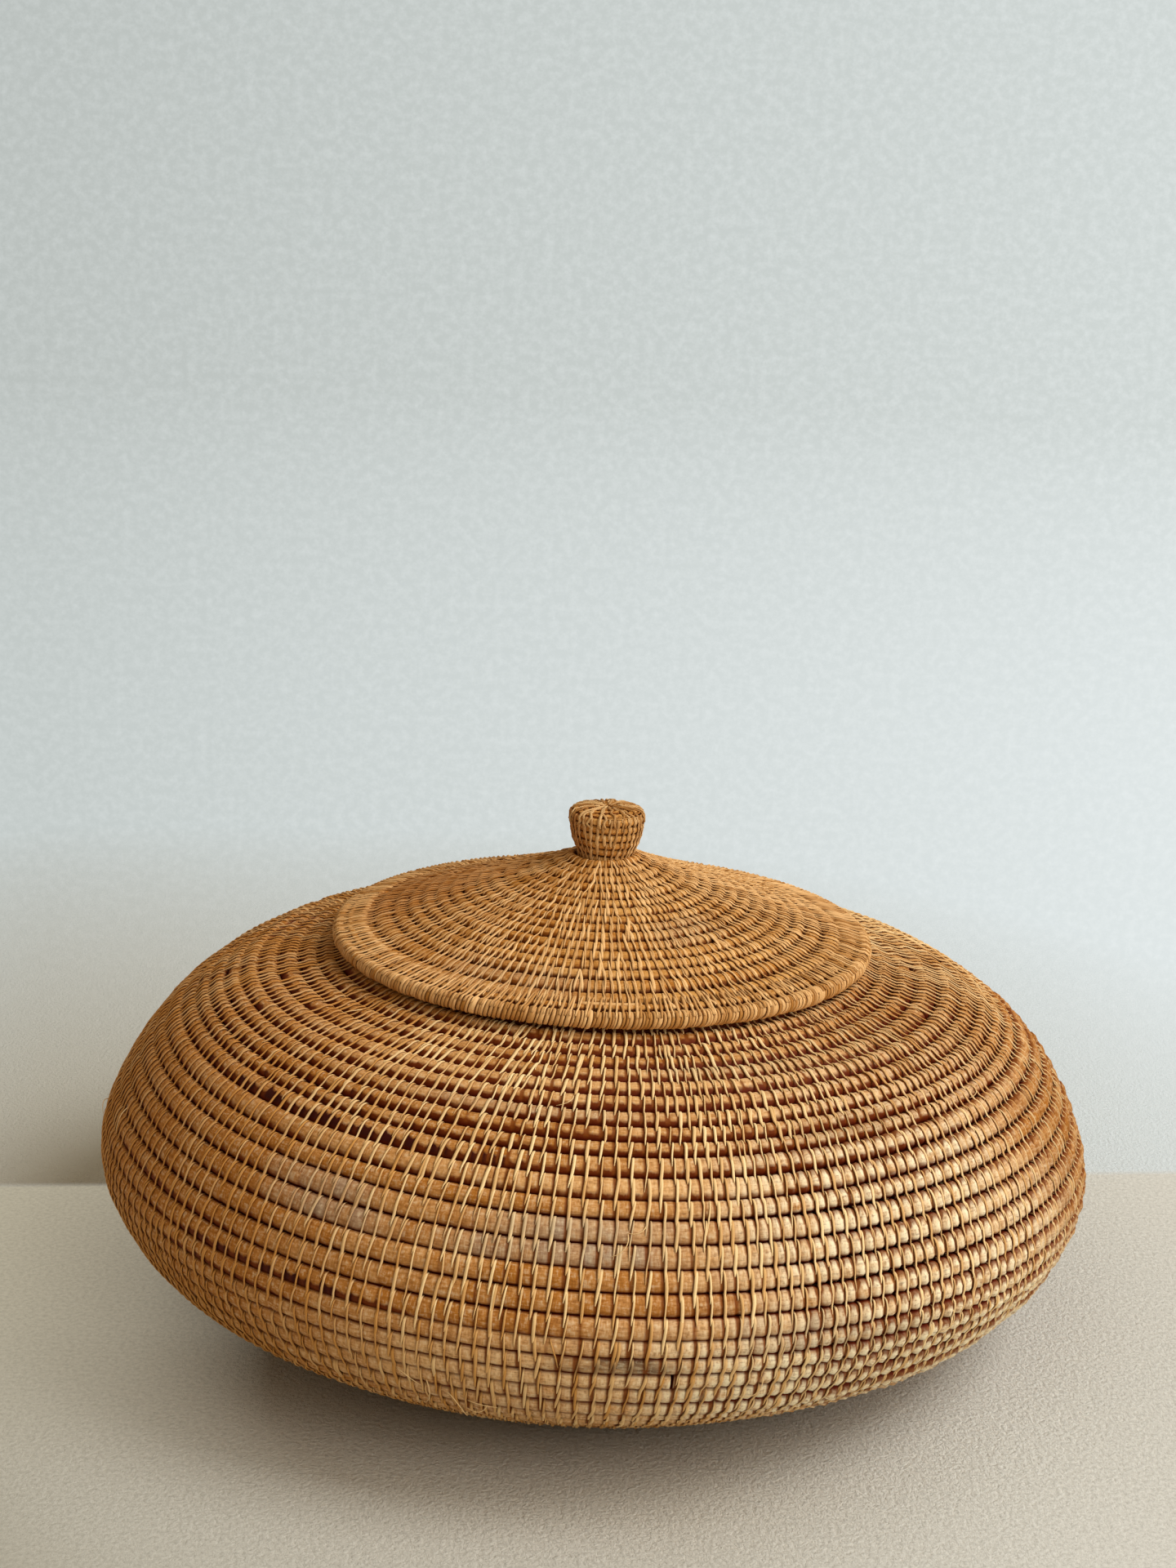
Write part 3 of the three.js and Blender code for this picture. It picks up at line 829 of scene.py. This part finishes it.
def makeWraps(name, radius, height, tubeRadius, style, body, slot, material, seed, marks=()):
    made = np.random.default_rng(seed)
    widths = []
    while sum(widths) < turnAngle * radius:
        width = style["width"] * made.uniform(*style["vary"])
        widths.append(width * (2.0 if made.uniform() < style["broad"] else 1.0))
    widths = np.array(widths) * turnAngle * radius / sum(widths)
    count = len(widths)
    middle = (np.cumsum(widths) - widths / 2) / radius - math.pi
    around = np.linspace(0, turnAngle, style["steps"], endpoint=False)[None]
    lean = style["lean"] * np.sin(around + 0.6) + made.normal(0, 0.12 * mm, (count, 1)) * np.cos(around)
    azimuth = middle[:, None] + lean / radius
    thick = style["thick"] * made.uniform(0.7, 1.3, count)[:, None]
    reach = tubeRadius - style["thick"] / 2 + made.normal(0, style["uneven"], count)[:, None]
    away = np.stack([np.cos(around), np.sin(around)], -1)
    flat = np.array([radius, height]) + away * reach[..., None]
    outward = roundAxis(np.broadcast_to(away, flat.shape), azimuth)
    halfWide = widths[:, None] / 2 * style["cover"]
    shaped = tubes(roundAxis(flat, azimuth), outward, alongTurn(azimuth), thick / 2, halfWide, 6, closed=True)
    grain = strandGrain(shaped, made, 0.03)
    kinds = {kind: spread(marks, kind, 0.5 + middle / turnAngle, middle) for kind in ("grey", "stain", "warm")}
    kinds["tone"] = made.uniform(*style["tone"], count)
    return makePiece(name, shaped, body, slot, material, packStrips(shaped["uv"], 4.0), grain, edge=strandEdgeShade,
                     **{kind: value[:, None, None] for kind, value in kinds.items()})


def ringOf(node):                  # middle radius and height of a ring-shaped solid, and its half thickness
    low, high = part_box(node)
    half = (high.z - low.z) / 2
    return high.x - half, (low.z + high.z) / 2, half


def makeMouth():
    radius, height, half = ringOf("mouth_rod")
    core = makeRing("mouth_rod_core", radius, height, half - 0.9 * mm, "basket", "dark_cane", caneRod)
    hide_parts("mouth_rod")
    makeWraps("mouth_rod_wrap", radius, height, half, wrapStyle, "basket", "dark_cane", caneStrand, 61)


makeMouth()

# lid
lidShape = {
    "line": [(116.0, 2.6), (100.0, 6.6), (66, 18.4), (34, 28.8), (12.8, 37.6)],
    "turns": 16,
    "halfThick": 2.9 * mm,
    "rim": 3.7 * mm,
    "coreInset": 0.8 * mm,         # the wrapping over the core of the rim and of the ring under the lid
    "rods": (("lid_outer_rod", -0.98, 5), ("lid_middle_rod", 5, 11), ("lid_crown_rod", 11, 16.2)),
    "lastStitch": 15.2,            # the row where the knob begins
}
lidSpacing = ((0, 2.2 * mm), (0.02, 2.5 * mm), (0.05, 3.0 * mm), (0.085, 3.4 * mm), (0.12, 3.7 * mm))
lidCoilStyle = {
    "powers": ((0, 2.3),),
    # strength of the painted shade under the rods, by row
    "hollows": ((-1, 0.1), (0, 0.2), (2, 0.3), (4, 0.25), (9, 0.3), (13, 0.3), (16, 0.3)),
    "rowShift": ((0, 4.4), (1, 7.1), (2, 9.1), (3, 8.7), (5, 8.3), (7, 8.1), (9, 6.1), (10, 6.2), (12, 4.4),
                 (14, 2.5), (15, 0.8), (16, -0.2)),
    "proud": 0.15 * mm,
    "wander": 0.1 * mm,
}
lidRodStyle = {
    "bead": 0.45 * mm,
    "rough": 0.05 * mm,
    "fill": 1.0,
    "crease": 1.0,
    "patchy": 0.5,
    "side": (2, 3),                # past 1, so that no side counts as lit
    "closed": (2, 3),
    "skew": 1.0,
}
lidStitchStyle = {
    **stitchStyle,
    "width": 1.15 * mm,
    "thick": 0.7 * mm,
    "beside": 0.5 * mm,
    "sag": 0.6 * mm,
    "sunk": 0.0,
    "tip": 0.5,
    "reach": (0.7, 1.0),
    "missing": 0.01,
    "tanned": 0.15,
    "low": 0.0,
}
lidInnerStyle = {"width": 1.3 * mm, "thick": 0.5 * mm, "sag": 0.4 * mm}
# the hollow marks are painted shade; the amber and warm marks on the left are painted shade on the side away
# from the lamps
lidMarks = (
    (4.5, -48, 36, 4, "hollow", 1.1), (10, -50, 50, 3, "hollow", 1.0), (1, 50, 40, 2, "hollow", 0.55),
    (6, 60, 30, 2, "hollow", 0.6), (6, -80, 74, 14, "amber", 0.65), (4, -102, 26, 6, "warm", 0.6),
    (9, -95, 16, 3, "warm", 0.5), (6, 35, 16, 1.5, "grey", 0.35), (1, -20, 20, 1.2, "grey", 0.3),
)
# the warm mark on the rim's left is painted shade
rimMarks = ((0, -100, 40, 2, "warm", 0.35),)

rimLow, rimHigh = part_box("lid_rim_wrap")
seat = (rimLow.z + rimHigh.z) / 2
lidLine = Outline(lidShape["line"])
lidCoil = Coil(lidLine, 0.0, lidLine.length / lidShape["turns"], lidShape["halfThick"], 21, lift=seat,
               **lidCoilStyle)
lidCoil.setColumns(-1, lidShape["turns"], lidSpacing, 9)


def makeLid():
    for part, (name, low, high) in enumerate(lidShape["rods"]):
        piece = makeRod(f"{name}_coil", lidCoil, low, high, lidRodStyle, "lid", "pale_cane", lidRod, 220 + part,
                        lidMarks)
        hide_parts(name)
        makeStitches(f"{name}_stitches", lidCoil, low, min(high, lidShape["lastStitch"]), lidStitchStyle, "lid",
                     "pale_cane", lidStrand, 200 + part, lidMarks)
    makeInnerStitches("lid_inner_stitches", lidCoil, 0, 15, lidInnerStyle, "lid", "pale_cane", lidStrand, 210)
    rim = lidShape["rim"]
    radius, height = rimHigh.x - rim, rimLow.z + rim
    core = makeRing("lid_rim_core_rod", radius, height, rim - lidShape["coreInset"], "lid", "cane", lidRod)
    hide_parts("lid_rim_core")
    wrap = makeWraps("lid_rim_strands", radius, height, rim, wrapStyle, "lid", "pale_cane", lidStrand, 62,
                     rimMarks)
    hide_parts("lid_rim_wrap")


stripShape = {"span": (-4, 9), "down": 3.4 * mm, "proud": 0.1 * mm, "halfThick": 0.5 * mm, "halfWide": 1.1 * mm}


def makeStrip():                   # the rod's flat end along the rim, over a span in degrees
    azimuth = np.radians(np.linspace(*stripShape["span"], 12))[None]
    steady = np.ones_like(azimuth)
    normal = lidLine.normal(steady * stripShape["down"])
    flat = lidLine.at(steady * stripShape["down"]) + normal * stripShape["proud"]
    along = roundAxis(alongOutline(normal), azimuth)
    strip = tubes(roundAxis(flat, azimuth, seat), roundAxis(normal, azimuth), along,
                  steady * stripShape["halfThick"], steady * stripShape["halfWide"], 6)
    makePiece("lid_strip", strip, "lid", "pale_cane", lidStrand, strip["uv"], strip["uv"] * 0.02, tone=0.3)


loopStyle = {
    "spacing": 2.7 * mm,
    "turned": (35, 70, 105),       # places on the rim, in degrees
    "onLid": (0.8, 3.4, 6.4, 9.0),   # places on the lid's outline and heights above it, in mm
    "above": (0.2, 0.5, 0.45, -0.2),
    "lean": 1.6 * mm,
    "halfWide": 0.6 * mm,
    "halfThick": 0.45 * mm,
}


def makeLoops():                   # strands that tie the rim to the first row of the lid
    made = np.random.default_rng(77)
    rim = lidShape["rim"]
    count = round(turnAngle * rimHigh.x / loopStyle["spacing"])
    around = np.radians(loopStyle["turned"])
    away = np.stack([np.cos(around), np.sin(around)], 1)
    onRim = np.array([rimHigh.x - rim, rim + rimLow.z - seat]) + away * (rim + 0.1 * mm)
    onLid = np.array(loopStyle["onLid"]) * mm
    lidNormal = lidLine.normal(onLid)
    normal = np.vstack([away, lidNormal])
    flat = np.vstack([onRim, lidLine.at(onLid) + lidNormal * np.array(loopStyle["above"])[:, None] * mm])
    share = np.linspace(-0.5, 0.5, len(flat))
    azimuth = (np.arange(count) + made.uniform(-0.3, 0.3, count))[:, None] / count * turnAngle
    lean = loopStyle["lean"] * made.uniform(0.3, 1.5, count)[:, None] * share
    azimuth = azimuth + lean / rimHigh.x
    flat, normal = (np.broadcast_to(x, (count, *x.shape)) for x in (flat, normal))
    taper = np.interp(share, [-0.5, 0.2, 0.5], [1, 1, 0.5]) * made.uniform(0.6, 1.3, count)[:, None]
    shaped = tubes(roundAxis(flat, azimuth, seat), roundAxis(normal, azimuth), alongTurn(azimuth),
                   np.full_like(taper, loopStyle["halfThick"]), loopStyle["halfWide"] * taper, 6)
    grain = strandGrain(shaped, made)
    tone = made.uniform(0, 0.9, count)[:, None, None]
    makePiece("lid_rim_loops", shaped, "lid", "pale_cane", lidStrand, packStrips(shaped["uv"], 4.0), grain,
              tone=tone, edge=strandEdgeShade)


makeLid()
makeStrip()
makeLoops()

flangeStyle = {**wrapStyle, "width": 2.6 * mm, "half": 3.0 * mm}   # half the thickness of the ring's rod


def makeFlange():
    low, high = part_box("lid_flange_ring")
    half = flangeStyle["half"]
    radius = high.x - half
    for turn, height in enumerate((low.z + half, low.z + 3 * half)):
        core = makeRing(f"flange_rod_{turn + 1}", radius, height, half - lidShape["coreInset"], "lid",
                        "dark_cane", caneRod)
        makeWraps(f"flange_wrap_{turn + 1}", radius, height, half, flangeStyle, "lid", "dark_cane",
                  caneStrand, 63 + turn)
    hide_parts("lid_flange_ring")


makeFlange()
print("lid coiled and sewn")

# knob
knobShape = {
    "side": [(12.6, 32.0), (12.4, 36.0), (13.2, 39.0), (15.0, 43.6), (16.2, 49.0), (16.7, 54.0), (16.2, 56.6)],
    "top": [(15.6, 57.2), (11, 58.2), (5, 58.4), (0.6, 58.0)],
    "over": [(0.8, 58.4), (6, 58.8), (12.5, 58.2), (15.9, 57.0), (16.9, 54.2), (16.6, 52.2)],
    "turns": 6.5,
    "halfThick": 2.0 * mm,
    "topTurns": 4,
    "topHalfThick": 1.8 * mm,
    "topStrands": 28,
}
knobSpacing = ((0, 2.8 * mm), (0.02, 3.0 * mm))
knobTopSpacing = ((0, 2.2 * mm), (0.02, 3.0 * mm))
knobRodStyle = {**lidRodStyle, "bead": 0.25 * mm, "crease": 0.5, "fill": 1.04}
knobStitchStyle = {
    **stitchStyle,
    "width": 1.25 * mm,
    "thick": 0.7 * mm,
    "beside": 0.5 * mm,
    "sag": 0.3 * mm,
    "sunk": 0.0,
    "loose": 0.1 * mm,
    "tip": 0.6,
    "missing": 0.0,
    "twin": 0.0,
    "tanned": 0.0,
    "low": 0.0,
}
# painted shade: warm and amber on the knob's left, away from the lamps, and the hollow mark round its foot
knobMarks = ((3, -85, 50, 9, "warm", 0.8), (3, -85, 50, 9, "amber", 0.5), (6, 0, 200, 0.8, "hollow", 0.9))


def makeKnob():
    line = Outline(knobShape["side"])
    coil = Coil(line, line.length, line.length / knobShape["turns"], knobShape["halfThick"], 31, sign=-1,
                lift=seat, proud=0.18 * mm, wander=0.12 * mm, hollows=((0, 0.2), (4, 0.4)))
    coil.setColumns(-1, 7, knobSpacing, 12)
    rod = makeRod("knob_side_coil", coil, -0.5, 6.9, knobRodStyle, "lid", "cane", lidRod, 310, knobMarks)
    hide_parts("knob_side_rod", "knob_core")
    makeStitches("knob_stitches", coil, -0.5, 5.9, knobStitchStyle, "lid", "cane", knobStrand, 301, knobMarks)
    top = Outline(knobShape["top"])
    turns = knobShape["topTurns"]
    topCoil = Coil(top, 0.0, top.length / turns, knobShape["topHalfThick"], 35, lift=seat, proud=0.15 * mm,
                   wander=0.1 * mm)
    topCoil.setColumns(-1, turns, knobTopSpacing, 13)
    disc = makeRod("knob_top_coil", topCoil, -0.5, turns + 0.2, knobRodStyle, "lid", "cane", lidRod, 311)
    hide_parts("knob_top_rod")


def makeSpokes():                  # strands that run out from the middle of the knob's top and over its edge
    made = np.random.default_rng(71)
    count = knobShape["topStrands"]
    azimuth = (np.arange(count) + made.uniform(-0.35, 0.35, count)) / count * turnAngle
    line = Outline(knobShape["over"])
    share = np.linspace(0, 1, 12)[None] * np.ones((count, 1))
    begin = made.uniform(0.0, 0.3, count)[:, None]
    distance = (begin + share * (1 - begin)) * line.length
    bend = azimuth[:, None] + made.normal(0, 0.2, count)[:, None] * (1 - share) ** 2
    bend = bend + made.normal(0, 0.04, (count, 12))
    flat, normal = line.at(distance), line.normal(distance)
    sunk = np.where(share > 0.93, 0.5, made.uniform(-0.15, 0.25, (count, 1))) * mm
    flat = flat - normal * sunk[..., None]
    wide = np.interp(flat[..., 0], [0, 6 * mm, 17 * mm], [0.5 * mm, 0.62 * mm, 0.65 * mm])
    wide = wide * made.uniform(0.7, 1.3, count)[:, None]
    shaped = tubes(roundAxis(flat, bend, seat), -roundAxis(normal, bend), alongTurn(bend),
                   np.full_like(wide, 0.4 * mm), wide, 6)
    grain = strandGrain(shaped, made)
    tone = made.uniform(0, 1, count)[:, None, None]
    makePiece("knob_spokes", shaped, "lid", "cane", knobStrand, packStrips(shaped["uv"], 5.0), grain,
              tone=tone, groove=0.0)


makeKnob()
makeSpokes()
print("knob made")

# floor, background and light
stageSet = {
    "size": 40.0,
    "edge": 0.103,                 # the table's far edge, and how much it turns away to the right
    "edgeTurn": 0.136,
    "fade": (0.4, 0.9),            # distances over which the lit floor goes over to an even level
    "tableFade": (0.22, 0.36),
    "eye": (1.03, 0.49),           # how far in front and how high the camera stands
    "aside": (-0.25, 0.25),        # the photograph's left and right side, as slopes seen from there
    "grain": 480,                  # specks of the table, how dark they are and how high, in metres
    "grainShare": 0.3,
    "grainHeight": 0.0028,
    "mottle": 250,                 # fine bumps of the wall; their share at the left, and more at the right
    "mottleRange": (0.42, 0.68),
    "mottleShare": (0.16, 0.12),
}
stageColours = {
    "table": (246, 247, 240),
    # painted light: the table's left is made paler than the rest
    "leftTable": (255, 251, 236),
    "nearTable": (224, 220, 208),  # painted shade and the basket's reflected colour on the table near it
    "fleck": (110, 104, 90),
    "leftLevel": (184, 176, 154),  # the even level of the table further out, with painted shade on the left, a painted shadow in front and painted light on the right
    "frontLevel": (162, 154, 133),
    "rightLevel": (224, 217, 201),
    "leftWall": (228, 226, 213),   # the floor beyond the table's edge, which reads as the wall, with painted shade on its left and painted light on its right
    "rightWall": (242, 252, 255),
    # the far floor and the background: painted light, darker on the left and lighter on the right
    "leftFar": (196, 203, 201),
    "rightFar": (224, 231, 231),
    "leftSky": (187, 193, 190),
    "rightSky": (210, 217, 215),
    "light": (245, 250, 250),
}
stageShade = tints(stageColours)


def mottled(paint, across, down, aside):   # the wall's plaster, by its place across and below the horizon
    place = paint.node("ShaderNodeCombineXYZ", {}, {0: across, 1: down})
    left, more = stageSet["mottleShare"]
    bumps = paint.noise(place, stageSet["mottle"], 5, 0.7)
    return paint.ramp(bumps, *stageSet["mottleRange"]) * (left + aside * more)


def makeStage():
    s = stageSet["size"]
    mesh = bpy.data.meshes.new("floor")
    mesh.from_pydata([(-s, -s, 0), (s, -s, 0), (s, s, 0), (-s, s, 0)], [], [(0, 1, 2, 3)])
    floor = addObject("floor", mesh)
    paint = Finish("floorPaint", 0.75, 0.0)
    mix, ramp, shade = paint.mix, paint.ramp, stageShade
    place = paint.node("ShaderNodeTexCoord", out="Object")
    along, depth = (paint.part(place, axis) for axis in (0, 1))
    reach = paint.node("ShaderNodeVectorMath", {"operation": "LENGTH"}, {0: place}, out="Value")
    eyeAway, eyeHeight = stageSet["eye"]
    away = depth + eyeAway
    aside = ramp(along / away.math("ABSOLUTE").math("MAXIMUM", 0.5), *stageSet["aside"])
    # painted shade on the wall's left and painted light on its right
    wall = mix(ramp(aside, 0.1, 0.7), shade["leftWall"], shade["rightWall"])
    front = ramp(depth, -0.05, -0.22)
    # painted light: the table paler to the left, not in front
    lit = mix(ramp(along, -0.12, -0.34) * (1 - front), shade["table"], shade["leftTable"])
    # painted shade near the basket, except on its lit right
    lit = mix(ramp(reach, 0.31, 0.22) * ramp(along, 0.18, 0.04), lit, shade["nearTable"])
    edge = stageSet["edge"]
    beyond = ramp(depth - along * stageSet["edgeTurn"], edge - 0.002, edge + 0.004)
    specks = paint.noise(place, stageSet["grain"], 4, 0.7)
    grain = ramp(specks, 0.4, 0.7) * stageSet["grainShare"]
    lit = mix(beyond, mix(grain, lit, shade["fleck"]), wall)
    # painted light on the far floor and the background, lighter on the right
    far = mix(aside, shade["leftFar"], shade["rightFar"])
    sky = mix(aside, shade["leftSky"], shade["rightSky"])
    # painted shade to the left, a painted shadow in front and painted light to the right
    left = mix(front, shade["leftLevel"], shade["frontLevel"])
    level = mix(ramp(along, -0.3, 0.2), left, shade["rightLevel"])
    table = mix(ramp(reach, 0.34, 0.65), mix(grain, level, shade["fleck"]), far)
    bumps = mottled(paint, along / away, eyeHeight / away, aside) * beyond
    even = mix(ramp(reach, 1.2, 5), mix(beyond, table, far), sky)
    even = mix(bumps, even, shade["light"])
    seen = paint.node("ShaderNodeLightPath", out="Is Camera Ray")
    shaded = ramp(along, -0.05, -0.2) * ramp(depth, -0.2, -0.08)   # the table left of the basket, in its shade, where the even level takes over sooner as painted light over the shadow
    (near, full), (wallNear, wallFull) = stageSet["tableFade"], stageSet["fade"]
    fadeFrom = beyond * (wallNear - near - aside * 0.18) + near - shaded * 0.11
    fadeTo = beyond * (wallFull - full - aside * 0.25) + full - shaded * 0.04
    faded = seen * ramp(reach, fadeFrom, fadeTo)
    black = (0, 0, 0, 1)
    paint.feed("Base Color", mix(faded, lit, black))
    paint.feed("Emission Color", mix(faded, black, even))
    paint.surface.inputs["Emission Strength"].default_value = 1.0
    paint.bump(specks, 1.0, stageSet["grainHeight"])
    mesh.materials.append(paint.material)


lightSet = {
    "sky": (255, 237, 208),
    "skyPower": 0.39,
    "aim": (0, 0, 0.08),
    "lamps": (                     # name, place, size, power and colour
        ("keyLamp", (1.52, -0.30, 2.05), 1.2, 32, (1.0, 0.98, 0.96)),
        ("sideLamp", (1.42, -1.45, 1.40), 1.6, 22, (1.0, 0.98, 0.95)),
    ),
}


def makeLights():
    world = bpy.data.worlds.new("world")
    bpy.context.scene.world = world
    world.use_nodes = True
    paint = Paint(world.node_tree)
    light = world.node_tree.nodes["Background"]
    light.inputs[0].default_value = tint(*lightSet["sky"])
    light.inputs[1].default_value = lightSet["skyPower"]
    way = paint.node("ShaderNodeTexCoord", out="Generated")
    along, depth, high = (paint.part(way, axis) for axis in range(3))
    ahead = depth.math("MAXIMUM", 0.5)
    aside = paint.ramp(along / ahead, *stageSet["aside"])
    bumps = mottled(paint, along / ahead, high / ahead * -1, aside) * paint.ramp(depth, 0.5, 0.6)
    # painted light on the background, lighter on the right
    sky = paint.mix(aside, stageShade["leftSky"], stageShade["rightSky"])
    seen = paint.node("ShaderNodeBackground", {}, {0: paint.mix(bumps, sky, stageShade["light"]), 1: 1.0})
    path = paint.node("ShaderNodeLightPath", out="Is Camera Ray")
    blend = paint.node("ShaderNodeMixShader", {}, {0: path, 1: Wire(paint, light.outputs[0]), 2: seen})
    paint.tree.links.new(blend.socket, world.node_tree.nodes["World Output"].inputs[0])
    for name, place, size, power, colour in lightSet["lamps"]:
        data = bpy.data.lights.new(name, "AREA")
        data.size, data.energy, data.color = size, power, colour
        lamp = addObject(name, data)
        lamp.location = place
        lamp.rotation_euler = (Vector(lightSet["aim"]) - Vector(place)).to_track_quat("-Z", "Y").to_euler()


makeStage()
makeLights()
bpy.context.scene.view_settings.view_transform = "Standard"
print("floor and light set")
